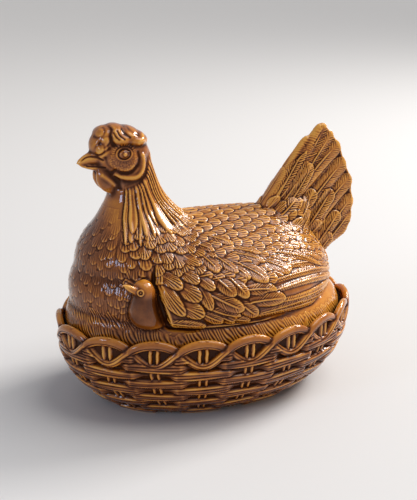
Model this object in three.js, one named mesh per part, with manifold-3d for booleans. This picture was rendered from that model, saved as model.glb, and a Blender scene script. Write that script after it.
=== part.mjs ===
// Hen on nest dish: a glazed earthenware basket with a lid in the form of a sitting hen.
// Millimetres, +Z up. The hen faces -X, and the dish stands on the foot of the basket.
import * as THREE from 'three';
import { mergeVertices } from 'three/addons/utils/BufferGeometryUtils.js';
import Module from 'manifold-3d';

const wasm = await Module();
wasm.setup();

// Basket, measured over the border at the rim
const basketLength = 250;
const basketWidth = 179;
const rimHeight = 70; // where two strands of the border cross
const footLength = 172;
const footWidth = 106;
const footRingWidth = 8;
const footRecess = 2;
const wallThickness = 6.5;
const floorThickness = 8;
const sideCurve = 2.5; // power of the belly's curve: a higher one stays upright for longer

// Border of two strands that wave round the rim and cross
const crossingCount = 18;
const crossingDrop = 4.6; // from the rim's dips down to the middle of the crossing strands
const waveHeight = 17;
const wavePinch = 1.75; // widens the eye between the strands downwards
const strandWidth = 8;
const strandDepth = 5;
const strandWeave = 0.7; // how far a strand steps out and in where it crosses
const eyeRecess = 3.7; // the wall behind the border, below the strands' faces
const eyeWallDrop = 3; // from the rim's dips down to the top of that wall
const rodDiameter = 2.8;
const rodSpacing = 5.6;

// Woven sides below the border
const weaverCount = 8;
const weaverPitch = 6.4;
const weaveDepth = 2.4;

// Ledge inside the rim, and the nest ring of the lid that sits on it
const ledgeDepth = 12;
const ledgeWidth = 10;
const seatGap = 0.3;
const ringClearance = 4;
const ringHeight = 25; // from the seat to the groove under the hen
const ringRounding = 7.5;
const lidWall = 6;

// Hen's body above the groove
const bodySetback = -3; // middle of the body, seen from the middle of the basket
const bodyLength = 216;
const bodyWidth = 145;
const backHeight = 66.5;

// Neck and head; places are from the middle of the body and from the groove
const neckHeight = 123;
const neckReach = 107;
const neckWidth = 124;
const headReach = 66.5;
const headRise = 119;
const headLength = 45;
const headWidth = 34;
const headHeight = 35;
const beakLength = 19;
const beakWidth = 17;
const beakHeight = 20;
const eyeDiameter = 8.5;
const combLength = 44;
const combWidth = 25;
const combHeight = 17;
const wattleLength = 19;
const wattleHeight = 25;

// Tail, a flat fan of parallel feathers in three tiers
const tailReach = 57; // front of the tail's root, from the middle of the body
const tailAngle = 50;
const tailLength = 80;
const tailBreadth = 78;
const tailRoot = 42; // how deep the feathers are rooted in the body
const tailThickness = 7;
const tailTierStep = 3.4;

// Wings, in three tiers that stand out from the flank
const wingReach = 54; // front of the wing, from the middle of the body
const wingLength = 148;
const wingRise = 44; // top of the wing's front, above the groove
const wingTierStep = 2.4;

// Chick that looks out in front of the wing, on the -Y side
const chickReach = 68;
const chickOffset = 57;
const chickWidth = 29;
const chickDepth = 24;
const chickHeight = 38;
const chickBeakLength = 12;

// Evenness of the meshes
const sideSteps = 3; // columns to a crossing on the woven side
const strandSteps = 4; // rings to a crossing along a strand
const strandSides = 6;
const rodSides = 4;
const hollowSteps = 32;
const bodySteps = 36;
const neckSteps = 24;
const lobeSteps = 8;
const headSteps = 14;
const tipSteps = 3; // on each side of a feather's tip
const overrun = 5; // how far a cutting solid passes the face that it cuts

const grooveHeight = rimHeight - ledgeDepth + seatGap + ringHeight;

// Turn a closed geometry into a solid, and a solid back into a geometry
function solidOf(geometry) {
  const bare = geometry.clone();
  bare.deleteAttribute('normal');
  bare.deleteAttribute('uv');
  const merged = mergeVertices(bare, 1e-5);
  return new wasm.Manifold(new wasm.Mesh({
    numProp: 3,
    vertProperties: new Float32Array(merged.attributes.position.array),
    triVerts: new Uint32Array(merged.index.array),
  }));
}

function geometryOf(solid) {
  const mesh = solid.getMesh();
  const geometry = new THREE.BufferGeometry();
  geometry.setAttribute('position', new THREE.BufferAttribute(new Float32Array(mesh.vertProperties), 3));
  geometry.setIndex(new THREE.BufferAttribute(new Uint32Array(mesh.triVerts), 1));
  geometry.computeVertexNormals();
  return geometry;
}

function join(solids) {
  return solids.reduce((whole, piece) => whole.add(piece));
}

// Skin over rings with as many points each; the ends are closed, or joined into a loop
function loft(rings, loop = false) {
  const count = rings[0].length;
  const points = rings.flat();
  const faces = [];
  const spans = loop ? rings.length : rings.length - 1;
  for (let level = 0; level < spans; level += 1) {
    const low = level * count;
    const high = ((level + 1) % rings.length) * count;
    for (let i = 0; i < count; i += 1) {
      const next = (i + 1) % count;
      faces.push(low + i, low + next, high + next, low + i, high + next, high + i);
    }
  }
  if (!loop) {
    const last = (rings.length - 1) * count;
    const middles = [rings[0], rings[rings.length - 1]].map((ring) => ring
      .reduce((sum, point) => sum.add(point), new THREE.Vector3()).divideScalar(count));
    const bottom = points.push(middles[0]) - 1;
    const top = points.push(middles[1]) - 1;
    for (let i = 0; i < count; i += 1) {
      const next = (i + 1) % count;
      faces.push(bottom, next, i, top, last + i, last + next);
    }
  }
  const geometry = new THREE.BufferGeometry().setFromPoints(points);
  geometry.setIndex(faces);
  return solidOf(geometry);
}

// Level oval
function oval(height, front, rear, halfWidth, count) {
  return Array.from({ length: count }, (_, i) => {
    const turn = (i / count) * 2 * Math.PI;
    const x = (front + rear) / 2 + ((rear - front) / 2) * Math.cos(turn);
    return new THREE.Vector3(x, halfWidth * Math.sin(turn), height);
  });
}

function ellipsoid(x, y, z, length, width, height, tilt = 0, steps = lobeSteps) {
  const geometry = new THREE.SphereGeometry(0.5, steps, Math.round(steps * 0.65));
  geometry.scale(length, height, width);
  geometry.rotateX(Math.PI / 2);
  geometry.rotateY(-tilt);
  geometry.translate(x, y, z);
  return solidOf(geometry);
}

// Tapering beak from a base ring to a blunt tip; the tip is a quarter of the base
function beak(x, y, z, length, width, height, tilt) {
  const geometry = new THREE.CylinderGeometry(0.1, 0.5, 1, lobeSteps, 1);
  geometry.rotateZ(Math.PI / 2);
  geometry.scale(length, height, width);
  geometry.rotateX(Math.PI / 2);
  geometry.rotateY(tilt);
  geometry.translate(x, y, z);
  return solidOf(geometry);
}

// Feather with a round tip, rooted at x, z and pointing at an angle in the upright plane
function feather(x, z, angle, length, width, thickness) {
  const outline = new THREE.Shape();
  outline.moveTo(0, -width * 0.4);
  outline.lineTo(length - width * 0.7, -width / 2);
  outline.quadraticCurveTo(length, -width / 2, length, 0);
  outline.quadraticCurveTo(length, width / 2, length - width * 0.7, width / 2);
  outline.lineTo(0, width * 0.4);
  const geometry = new THREE.ExtrudeGeometry(outline, {
    depth: thickness, bevelEnabled: false, curveSegments: tipSteps,
  });
  geometry.translate(0, 0, -thickness / 2);
  geometry.rotateX(Math.PI / 2);
  geometry.rotateY(-angle);
  geometry.translate(x, 0, z);
  return solidOf(geometry);
}

// Basket

// The rim's oval, walked in even steps so that every wave is as long as the next
const rimOval = new THREE.EllipseCurve(0, 0, basketLength / 2, basketWidth / 2, 0, 2 * Math.PI);
rimOval.arcLengthDivisions = 1440;

// Point of the basket's side: a share of the way round, a height and an inset from the outside
function sidePoint(roundShare, height, inset) {
  const turn = rimOval.getUtoTmapping(roundShare % 1) * 2 * Math.PI;
  const belly = Math.max(1 - height / rimHeight, 0) ** sideCurve;
  const halfLength = basketLength / 2 - ((basketLength - footLength) / 2) * belly - inset;
  const halfWidth = basketWidth / 2 - ((basketWidth - footWidth) / 2) * belly - inset;
  return new THREE.Vector3(halfLength * Math.cos(turn), halfWidth * Math.sin(turn), height);
}

function sideRing(height, count, insetAt) {
  return Array.from({ length: count }, (_, i) => sidePoint(i / count, height, insetAt(i / count)));
}

// Weavers pass over one pair of rods and under the next, and the next row the other way
function wovenSide() {
  const rings = [];
  for (let row = 0; row < weaverCount; row += 1) {
    const inset = (roundShare) => {
      const wave = Math.cos(Math.PI * (roundShare * crossingCount - 0.5 + row));
      return weaveDepth * (0.5 - 0.5 * wave);
    };
    rings.push(sideRing(row * weaverPitch, crossingCount * sideSteps, () => (row ? weaveDepth : weaveDepth / 2)));
    rings.push(sideRing((row + 0.5) * weaverPitch, crossingCount * sideSteps, inset));
  }
  rings.push(sideRing(weaverCount * weaverPitch, crossingCount * sideSteps, () => eyeRecess));
  rings.push(sideRing(rimHeight - eyeWallDrop, crossingCount * sideSteps, () => eyeRecess));
  return loft(rings);
}

// One strand of the border; the other one is half a wave on
function borderStrand(halfWaveOn) {
  const middle = rimHeight - crossingDrop;
  const steps = crossingCount * strandSteps;
  const rings = Array.from({ length: steps }, (_, i) => {
    const phase = Math.PI * ((crossingCount * i) / steps + halfWaveOn);
    const height = middle + (waveHeight / 2) * Math.sin(phase) - wavePinch * (1 - Math.cos(2 * phase));
    const inset = strandDepth / 2 + strandWeave * (1 - Math.cos(phase));
    const steepness = 1 + 0.25 * Math.cos(phase) ** 2;
    return Array.from({ length: strandSides }, (__, side) => {
      const turn = (side / strandSides) * 2 * Math.PI;
      const rise = (strandWidth / 2) * steepness * Math.sin(turn);
      const point = sidePoint(i / steps, height, inset + (strandDepth / 2) * Math.cos(turn));
      point.z += rise;
      return point;
    });
  });
  return loft(rings, true);
}

// Pair of upright rods in the eye between two crossings
function rodPair(crossing) {
  const middleShare = (crossing + 0.5) / crossingCount;
  const top = rimHeight - eyeWallDrop - strandWidth / 2;
  const bottom = weaverCount * weaverPitch;
  const foot = sidePoint(middleShare, bottom, eyeRecess);
  const head = sidePoint(middleShare, top, eyeRecess);
  const along = sidePoint(middleShare + 0.001, bottom, eyeRecess).sub(foot).setZ(0).normalize();
  return [-0.5, 0.5].map((side) => {
    const rod = new THREE.CylinderGeometry(rodDiameter / 2, rodDiameter / 2, top - bottom, rodSides);
    rod.rotateX(Math.PI / 2);
    const place = foot.clone().lerp(head, 0.5).addScaledVector(along, side * rodSpacing);
    rod.translate(place.x, place.y, place.z);
    return solidOf(rod);
  });
}

// Bowl below the ledge and the wider seat above it
function basketHollow() {
  const ledge = rimHeight - ledgeDepth;
  const bowl = [];
  const levels = 7;
  for (let level = 0; level <= levels; level += 1) {
    const height = floorThickness + ((ledge + seatGap - floorThickness) * level) / levels;
    const inset = wallThickness + Math.max((ledgeWidth * (level - levels)) / levels + ledgeWidth, 0);
    bowl.push(sideRing(height, hollowSteps, () => inset));
  }
  const seat = [ledge, rimHeight + waveHeight].map((height) => {
    const ring = sideRing(Math.min(height, rimHeight), hollowSteps, () => wallThickness);
    return ring.map((point) => point.setZ(height));
  });
  return loft(bowl).add(loft(seat));
}

function basket() {
  const rods = Array.from({ length: crossingCount }, (_, i) => rodPair(i)).flat();
  const body = join([wovenSide(), borderStrand(0), borderStrand(1), ...rods]);
  const recess = [-overrun, footRecess].map((height) => sideRing(0, hollowSteps, () => footRingWidth)
    .map((point) => point.setZ(height)));
  return body.subtract(basketHollow()).subtract(loft(recess));
}

// Lid

// Nest ring: heights as shares of the ring's height, insets as shares of its rounding
const ringProfileShares = [
  [0, 0.3], [0.14, 0], [0.55, 0], [0.78, 0.3], [0.93, 0.75], [1.02, 1.3], [1.05, 2],
];

function nestRing() {
  const seat = rimHeight - ledgeDepth + seatGap;
  const outside = wallThickness + ringClearance;
  return loft(ringProfileShares.map(([heightShare, insetShare]) => {
    const inset = outside + ringRounding * insetShare;
    const ring = sideRing(rimHeight, crossingCount * sideSteps, () => inset);
    return ring.map((point) => point.setZ(seat + ringHeight * heightShare));
  }));
}

// Body in level slices: height, front, rear and width as shares of the body's own sizes
const bodySliceShares = [
  [-0.3, 0.97, 0.97, 0.95], [0, 0.985, 0.985, 0.975], [0.08, 1, 1, 1.01], [0.18, 1.015, 1.01, 1.035],
  [0.32, 1.015, 0.98, 1.02], [0.46, 0.98, 0.94, 0.95], [0.6, 0.93, 0.86, 0.83], [0.73, 0.86, 0.78, 0.67],
  [0.84, 0.77, 0.69, 0.5], [0.93, 0.66, 0.6, 0.32], [0.985, 0.52, 0.5, 0.15], [1, 0.36, 0.4, 0.05],
];

function henBody(outset, count) {
  return loft(bodySliceShares.map(([heightShare, frontShare, rearShare, widthShare]) => {
    const side = heightShare > 0 || outset < 0 ? outset : 0;
    return oval(
      grooveHeight + backHeight * heightShare + outset * Math.max(heightShare, 0),
      bodySetback - (bodyLength / 2) * frontShare - side,
      bodySetback + (bodyLength / 2) * rearShare + side,
      (bodyWidth / 2) * widthShare + side,
      count,
    );
  }));
}

// Neck in level slices: height, front, back and width as shares of the neck's sizes
const neckSliceShares = [
  [0.16, 0.95, -0.3, 0.86], [0.27, 0.98, -0.2, 0.93], [0.37, 0.957, 0, 0.86], [0.45, 0.905, 0.08, 0.75],
  [0.53, 0.835, 0.155, 0.59], [0.61, 0.785, 0.25, 0.44], [0.69, 0.74, 0.325, 0.345],
  [0.77, 0.715, 0.37, 0.295], [0.85, 0.735, 0.395, 0.28], [0.93, 0.775, 0.42, 0.27], [1, 0.755, 0.45, 0.22],
];

function henNeck(outset, count) {
  return loft(neckSliceShares.map(([heightShare, frontShare, backShare, widthShare]) => oval(
    grooveHeight + (neckHeight + outset) * heightShare,
    bodySetback - neckReach * frontShare - outset,
    bodySetback - neckReach * backShare + outset,
    (neckWidth / 2) * widthShare + outset,
    count,
  )));
}

// Lobes of the comb: place and size as shares of the comb's length, width and height
const combLobeShares = [
  [-0.34, 0, -0.42, 0.32, 0.62, 0.95], [-0.22, 0, 0.02, 0.42, 0.75, 0.95], [0, 0, 0.1, 0.5, 0.9, 0.85],
  [0.2, 0, -0.02, 0.5, 1, 0.62], [0.36, 0, -0.16, 0.34, 0.85, 0.5], [-0.28, -0.26, -0.32, 0.26, 0.4, 0.75],
  [-0.28, 0.26, -0.32, 0.26, 0.4, 0.75], [-0.04, -0.34, -0.1, 0.4, 0.4, 0.6], [-0.04, 0.34, -0.1, 0.4, 0.4, 0.6],
];

function henHead() {
  const x = bodySetback - headReach;
  const z = grooveHeight + headRise;
  const combHeightAbove = z + headHeight / 2 - combHeight / 4;
  const comb = combLobeShares.map(([alongShare, acrossShare, upShare, lengthShare, widthShare, heightShare]) => (
    ellipsoid(
      x + combLength * alongShare, combWidth * acrossShare, combHeightAbove + combHeight * upShare,
      combLength * lengthShare, combWidth * widthShare, combHeight * heightShare, -0.15,
    )
  ));
  const sides = [-1, 1].flatMap((side) => [
    ellipsoid(x + headLength * 0.03, side * headWidth * 0.33, z - headHeight * 0.1,
      headLength * 0.62, headWidth * 0.4, headHeight * 0.72),
    ellipsoid(x - headLength * 0.06, side * headWidth * 0.44, z + headHeight * 0.06,
      eyeDiameter, eyeDiameter, eyeDiameter),
  ]);
  return join([
    ellipsoid(x, 0, z, headLength, headWidth, headHeight, 0, headSteps),
    beak(x - headLength * 0.36 - beakLength / 2, 0, z - headHeight * 0.14, beakLength, beakWidth, beakHeight, -0.06),
    ellipsoid(x - headLength * 0.25, 0, z - headHeight * 0.5, wattleLength, wattleLength, wattleHeight, 0.5),
    ...sides, ...comb,
  ]);
}

// Tips of the tail feathers, as shares of the tail's length, from the front feather down
const tailTipShares = [
  [1, 0.96, 0.9, 0.83, 0.75, 0.63, 0.44],
  [0.62, 0.55, 0.4, 0.38, 0.3],
  [0.12, 0.1, 0.12, 0.14, 0.1],
];

function henTail() {
  const angle = THREE.MathUtils.degToRad(tailAngle);
  const rootX = bodySetback + tailReach - tailRoot * Math.cos(angle);
  const rootZ = grooveHeight + backHeight - tailRoot * Math.sin(angle);
  return join(tailTipShares.flatMap((tips, tier) => tips.map((tipShare, i) => {
    const down = (tailBreadth * (i + 0.5)) / tips.length;
    return feather(
      rootX + down * Math.sin(angle), rootZ - down * Math.cos(angle), angle,
      tailRoot + tailLength * tipShare, (1.12 * tailBreadth) / tips.length, tailThickness + 2 * tailTierStep * tier,
    );
  })));
}

// Wing feathers by tier: root along and down the wing, length as shares, and slope in degrees
const wingFeatherShares = [
  [[0.32, 0.24, 0.66, -2], [0.32, 0.42, 0.68, -3], [0.3, 0.6, 0.68, -3], [0.3, 0.78, 0.66, -2]],
  [[0.14, 0.22, 0.5, -14], [0.12, 0.3, 0.48, -24], [0.1, 0.38, 0.42, -36], [0.08, 0.4, 0.36, -50]],
  [[0.06, 0.02, 0.34, -12], [0.04, 0.1, 0.32, -28], [0.02, 0.14, 0.28, -46], [0, 0.16, 0.24, -64]],
];
const wingFeatherWidthShares = [0.085, 0.12, 0.12];

function henWings() {
  return join(wingFeatherShares.map((feathers, tier) => {
    const prisms = feathers.map(([alongShare, downShare, lengthShare, slope]) => feather(
      bodySetback - wingReach + wingLength * alongShare,
      grooveHeight + wingRise * (1 - downShare),
      THREE.MathUtils.degToRad(slope),
      wingLength * lengthShare,
      wingLength * wingFeatherWidthShares[tier],
      2 * bodyWidth,
    ));
    return join(prisms).intersect(henBody(wingTierStep * (tier + 1), bodySteps));
  }));
}

function chick() {
  const x = bodySetback - chickReach;
  const z = grooveHeight + chickHeight;
  const headSize = chickWidth * 0.64;
  return join([
    ellipsoid(x + chickWidth * 0.08, -chickOffset, grooveHeight + chickHeight * 0.34,
      chickWidth, chickDepth, chickHeight * 0.88),
    ellipsoid(x - chickWidth * 0.08, -chickOffset - chickDepth * 0.1, z - headSize / 2, headSize, headSize, headSize),
    beak(x - headSize * 0.5 - chickBeakLength / 2, -chickOffset - chickDepth * 0.15, z - headSize * 0.38,
      chickBeakLength, headSize * 0.35, headSize * 0.35, 0.35),
    ellipsoid(x - chickWidth * 0.16, -chickOffset - chickDepth * 0.42, z - headSize * 0.42,
      headSize * 0.24, headSize * 0.2, headSize * 0.24),
  ]);
}

// The lid is cast hollow: its inside follows the outside, open at the bottom
function lidHollow() {
  const seat = rimHeight - ledgeDepth + seatGap;
  const inset = wallThickness + ringClearance + ringRounding * ringProfileShares[0][1] + lidWall;
  const mouth = [seat - overrun, grooveHeight - lidWall].map((height) => (
    sideRing(rimHeight, hollowSteps, () => inset).map((point) => point.setZ(height))
  ));
  return join([loft(mouth), henBody(-lidWall, hollowSteps), henNeck(-lidWall, lobeSteps * 2)]);
}

function lid() {
  const outside = join([
    nestRing(), henBody(0, bodySteps), henNeck(0, neckSteps), henHead(), henTail(), henWings(), chick(),
  ]);
  return outside.subtract(lidHollow());
}

// Assembly, centred over the foot on the whole dish's length

const glaze = { color: 0x7a3f14, roughness: 0.14, metalness: 0 };

function piece(name, solid, finish) {
  const mesh = new THREE.Mesh(geometryOf(solid), new THREE.MeshStandardMaterial(finish));
  mesh.name = name;
  return mesh;
}

const dish = new THREE.Group();
dish.add(piece('basket_base', basket(), glaze));
dish.add(piece('hen_lid', lid(), glaze));
const bounds = new THREE.Box3().setFromObject(dish);
dish.position.x = -(bounds.min.x + bounds.max.x) / 2;

export default dish;
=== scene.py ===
from math import cos, hypot, pi, radians, sin, tau
import bpy
import numpy as np
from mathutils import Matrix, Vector
from mathutils.bvhtree import BVHTree


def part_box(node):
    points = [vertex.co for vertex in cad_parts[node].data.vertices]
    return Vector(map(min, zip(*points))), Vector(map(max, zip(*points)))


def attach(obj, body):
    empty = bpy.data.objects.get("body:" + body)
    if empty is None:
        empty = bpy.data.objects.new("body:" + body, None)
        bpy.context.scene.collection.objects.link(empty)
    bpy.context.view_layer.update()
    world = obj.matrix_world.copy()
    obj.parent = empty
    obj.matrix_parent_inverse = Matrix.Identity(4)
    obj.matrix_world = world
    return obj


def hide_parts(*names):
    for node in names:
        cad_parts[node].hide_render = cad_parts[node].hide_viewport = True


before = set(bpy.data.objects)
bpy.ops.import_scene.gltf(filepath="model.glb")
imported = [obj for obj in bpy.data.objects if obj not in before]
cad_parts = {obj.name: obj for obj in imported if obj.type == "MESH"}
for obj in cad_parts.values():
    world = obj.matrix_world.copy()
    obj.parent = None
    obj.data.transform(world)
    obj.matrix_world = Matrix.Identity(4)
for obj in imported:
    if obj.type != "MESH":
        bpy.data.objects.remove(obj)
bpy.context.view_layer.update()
basketLow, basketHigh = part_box("basket_base")
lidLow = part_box("hen_lid")[0]

# the drawing is in millimetres from the middle of the basket at table level: the rim's outline, then three heights
halfLength, halfWidth = 125, 89.5
rim, seat, groove = 70, 58.3, 83.3
unit = 0.001
middle = Vector(((basketLow.x + basketHigh.x) / 2, 0, basketLow.z))
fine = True
print("frame loaded")


# shader maths

class Wire:
    def __init__(self, shader, socket):
        self.shader, self.socket = shader, socket

    def __add__(self, other):
        return self.shader.maths("ADD", self, other)

    def __sub__(self, other):
        return self.shader.maths("SUBTRACT", self, other)

    def __rsub__(self, other):
        return self.shader.maths("SUBTRACT", other, self)

    def __mul__(self, other):
        return self.shader.maths("MULTIPLY", self, other)

    __radd__, __rmul__ = __add__, __mul__


class Shader:
    def __init__(self, owner, surface):
        owner.use_nodes = True
        self.owner, self.tree = owner, owner.node_tree
        self.surface = self.tree.nodes[surface]

    # settings first, then sockets by place or by name; the first output comes back unless another is named
    def node(self, kind, settings=None, sockets=(), output=0):
        made = self.tree.nodes.new("ShaderNode" + kind)
        for key, value in (settings or {}).items():
            if key == "stops":
                stops = made.color_ramp.elements
                while len(stops) < len(value):
                    stops.new(0.5)
                for stop, (place, colour) in zip(stops, value):
                    stop.position, stop.color = place, (*colour, 1)
            else:
                setattr(made, key, value)
        for key, value in sockets.items() if isinstance(sockets, dict) else enumerate(sockets):
            self.feed(made.inputs[key], value)
        return Wire(self, made.outputs[output])

    def maths(self, operation, *values):
        return self.node("Math", {"operation": operation}, values)

    def feed(self, socket, value):
        if isinstance(value, Wire):
            self.tree.links.new(value.socket, socket)
        else:
            socket.default_value = value

    def set(self, **sockets):
        for key, value in sockets.items():
            self.feed(self.surface.inputs[key.replace("_", " ")], value)
        return self.owner


# mesh helpers

# 0 below low, 1 above high, smooth between them
def ramp(low, high, x):
    t = np.clip((x - low) / (high - low), 0, 1)
    return t * t * (3 - 2 * t)


# round ridge of half breadth 1
def arc(x):
    return np.sqrt(np.clip(1 - x ** 2, 0, 1))


def bell(x, centre, breadth):
    return np.exp(-((x - centre) / breadth) ** 2)


def unitVector(v):
    return v / max(np.linalg.norm(v), 1e-9)


def lengths(rows):
    return np.linalg.norm(rows, axis=1)


# distance run at each point of a path, where a step that is not known counts as the gap
def pathRun(path, gap=0.0):
    return np.concatenate([[0], np.cumsum(np.nan_to_num(lengths(np.diff(path, axis=0)), nan=gap))])


def pathPoint(at, run, path):
    return np.stack([np.interp(at, run, column) for column in path.T], -1)


def fullTurn(columns):
    return np.linspace(0, tau, columns, endpoint=False)


# smooth curve through a table's rows
def eased(keys, values, at):
    keys, values, at = np.asarray(keys, float), np.asarray(values, float), np.asarray(at, float)
    slopes = np.gradient(values, keys, axis=0)
    i = np.clip(np.searchsorted(keys, at, side="right") - 1, 0, len(keys) - 2)
    gap = keys[i + 1] - keys[i]
    t = np.clip((at - keys[i]) / gap, 0, 1)
    if values.ndim > 1:
        gap, t = gap[:, None], t[:, None]
    low = (2 * t ** 3 - 3 * t ** 2 + 1) * values[i] + (t ** 3 - 2 * t ** 2 + t) * gap * slopes[i]
    return low + (3 * t ** 2 - 2 * t ** 3) * values[i + 1] + (t ** 3 - t ** 2) * gap * slopes[i + 1]


def placed(name, data):
    made = bpy.data.objects.new(name, data)
    bpy.context.collection.objects.link(made)
    return made


def inScene(points):
    return np.asarray(points, float) * unit + np.array(middle)


def makeObject(name, points, faces):
    mesh = bpy.data.meshes.new(name)
    mesh.from_pydata(inScene(points), [], [face for block in faces for face in block.tolist()])
    mesh.shade_smooth()
    return placed(name, mesh)


# skin over rings of equal count, closed at both ends with a fan
def closedSkin(rings):
    rings = np.asarray(rings, float)
    count, columns = rings.shape[:2]
    low = (np.arange(count - 1) * columns)[:, None]
    here = np.arange(columns)
    after = (here + 1) % columns
    quads = np.stack([low + here, low + after, low + columns + after, low + columns + here], -1).reshape(-1, 4)
    last, end = (count - 1) * columns, count * columns + 0 * here
    fans = np.concatenate([np.stack([end, after, here], -1), np.stack([end + 1, last + here, last + after], -1)])
    return np.concatenate([rings.reshape(-1, 3), [rings[0].mean(0)], [rings[-1].mean(0)]]), (quads, fans)


def joined(parts):
    starts = np.cumsum([0] + [len(points) for points, faces in parts])
    faces = [np.concatenate([both[kind] + start for (points, both), start in zip(parts, starts)]) for kind in (0, 1)]
    return np.concatenate([points for points, faces in parts]), faces


def readRaw(items, name, kind=np.float32, width=3):
    raw = np.empty(len(items) * width, kind)
    items.foreach_get(name, raw)
    return raw.reshape(-1, width)


def readPoints(made):
    return (readRaw(made.data.vertices, "co").astype(float) - np.array(middle)) / unit


def writePoints(made, points):
    made.data.vertices.foreach_set("co", inScene(points).astype(np.float32).ravel())
    made.data.update()


def readNormals(made):
    return readRaw(made.data.vertex_normals, "vector").astype(float)


def readEdges(made):
    return readRaw(made.data.edges, "vertices", np.int32, 2)


# mean of each point's neighbours, for smoothing and for finding hollows
def neighbourMean(values, edges):
    (a, b), size = edges.T, len(values)
    total = [np.bincount(a, column[b], size) + np.bincount(b, column[a], size) for column in values.T]
    return np.stack(total, -1) / np.maximum(np.bincount(edges.ravel(), minlength=size), 1)[:, None]


# the points given, or else those the mesh has, are drawn towards their neighbours and written
def relax(made, times, points=None):
    points, edges = readPoints(made) if points is None else points, readEdges(made)
    for step in range(times):
        points = points + 0.6 * (neighbourMean(points, edges) - points)
    writePoints(made, points)


# how far each point stands out from its surroundings, over a few reaches, in millimetres
def standOut(points, normals, edges, reaches):
    found, smooth = [], points
    for step in range(1, reaches[-1] + 1):
        smooth = neighbourMean(smooth, edges)
        if step in reaches:
            found.append(((points - smooth) * normals).sum(1))
    return found


def withModifier(made, kind, **settings):
    change = made.modifiers.new(kind, kind)
    for key, value in settings.items():
        setattr(change, key, value)
    bpy.context.view_layer.update()
    result = bpy.data.meshes.new_from_object(made.evaluated_get(bpy.context.evaluated_depsgraph_get()))
    made.modifiers.clear()
    old, made.data = made.data, result
    bpy.data.meshes.remove(old)
    result.shade_smooth()
    return made


# angles that step evenly along the rim's outline
def evenTurns(shares):
    turn = np.linspace(0, tau, 7201)
    speed = np.hypot(halfLength * np.sin(turn), halfWidth * np.cos(turn))
    run = np.concatenate([[0], np.cumsum((speed[1:] + speed[:-1]) / 2)])
    return np.interp(np.mod(shares, 1), run / run[-1], turn)


# glaze

glazeLook = dict(
    # pooled, dark, brown, amber and thin glaze
    stops=[
        (0, (0.045, 0.0115, 0.0025)), (0.27, (0.125, 0.031, 0.0045)), (0.52, (0.35, 0.1, 0.011)),
        (0.76, (0.64, 0.235, 0.023)), (1, (0.82, 0.385, 0.06)),
    ],
    biscuit=(0.62, 0.5, 0.36), mottle=0.42, grain=42, roughness=0.11,
)


def glazeMaterial(name, look):
    shader = Shader(bpy.data.materials.new(name), "Principled BSDF")
    # the glaze level read here holds thin and pooled glaze together with painted light and shade
    glazeAndLightFac, bare = (shader.node("Attribute", {"attribute_name": key}, output="Fac") for key in ("thinGlaze", "bareClay"))
    place = shader.node("TexCoord", output="Object")
    cloud = shader.node("TexNoise", {}, {"Vector": place, "Scale": look["grain"], "Detail": 3, "Roughness": 0.6})
    speck = shader.node("TexNoise", {}, {"Vector": place, "Scale": look["grain"] * 14, "Detail": 1})
    level = glazeAndLightFac + (cloud - 0.5) * look["mottle"] + (speck - 0.5) * 0.1
    colour = shader.node("ValToRGB", {"stops": look["stops"]}, [level])
    clay = shader.node("Mix", {"data_type": "RGBA"}, {0: bare, 6: colour, 7: (*look["biscuit"], 1)}, output=2)
    # the coat's reflection fades in the hollows, a painted shade on the reflections there
    hollowShadedCoat = shader.node("MapRange", {}, [glazeAndLightFac, 0.05, 0.45, 0.15, 1])
    return shader.set(
        Base_Color=clay, Roughness=look["roughness"] + bare * 0.6 + (cloud - 0.5) * 0.05,
        IOR=1.5, Specular_IOR_Level=0.03, Coat_Weight=hollowShadedCoat * (1 - bare), Coat_Roughness=0.035, Coat_IOR=1.5,
    )


# basket: one skin from the middle of the underside, up the woven side, over the border and down inside

basketLook = dict(
    footLength=172, footWidth=106, footRing=8, footRecess=2, belly=2.5, border=48,
    crossings=18, crossingDrop=4.6, wave=18, pinch=1.3,
    strand=3.3, strandSpread=0.3, strandDepth=2.8, strandWeave=0.7, strandGroove=0.4,
    eye=4.6, rod=1.65, rodGap=5.6, rodTop=-2.1,
    weavers=9, pitch=7.3, weaveDepth=3.6, wisp=2.3,
    wall=6.5, ledge=12, ledgeWidth=10, floor=8, fillet=9,
    # inset, drop and bareness of the rings over the ledge
    ledgeSteps=[
        (0.25, 0.06, 0), (1, 0, 0.5), (2, 0, 1), (8.6, 0, 1), (9.4, 0.1, 0.5), (9.9, 0.5, 0), (10, 1.2, 0),
    ],
    # points round each crossing, then rows of points on the woven side and on the border
    columns=60 if fine else 28, rows=(100, 44) if fine else (50, 24),
    # the tint darkens the basket's glaze well below the hen's, a painted shade for a side that stands low and faces
    # away from the light above
    tint=-0.44, contrast=0.8,
)

hidden = -99  # lies behind everything else


# one ring of the basket at this height, inside the rim's outline; its own level can differ
def basketSide(turn, height, inset, level=None):
    s = basketLook
    height = height + 0 * turn
    belly = np.clip(1 - height / rim, 0, 1) ** s["belly"]
    reach = halfLength - (halfLength - s["footLength"] / 2) * belly - inset
    width = halfWidth - (halfWidth - s["footWidth"] / 2) * belly - inset
    return np.stack([reach * np.cos(turn), width * np.sin(turn), height if level is None else level + 0 * turn], -1)


# a border strand's middle height, how upright it is cut, how far inside the outline it lies and its half breadth
def strandCourse(share, strand, perimeter):
    s = basketLook
    phase = pi * (s["crossings"] * share + strand)
    height = rim - s["crossingDrop"] + s["wave"] / 2 * np.sin(phase) - s["pinch"] * (1 - np.cos(2 * phase))
    slope = pi * s["crossings"] / perimeter * (s["wave"] / 2 * np.cos(phase) - 2 * s["pinch"] * np.sin(2 * phase))
    inset = s["strandDepth"] + s["strandWeave"] * (1 - np.cos(phase))
    half = s["strand"] + s["strandSpread"] * np.sin(phase)
    return height, 1 / np.hypot(1, slope), inset, half


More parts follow.
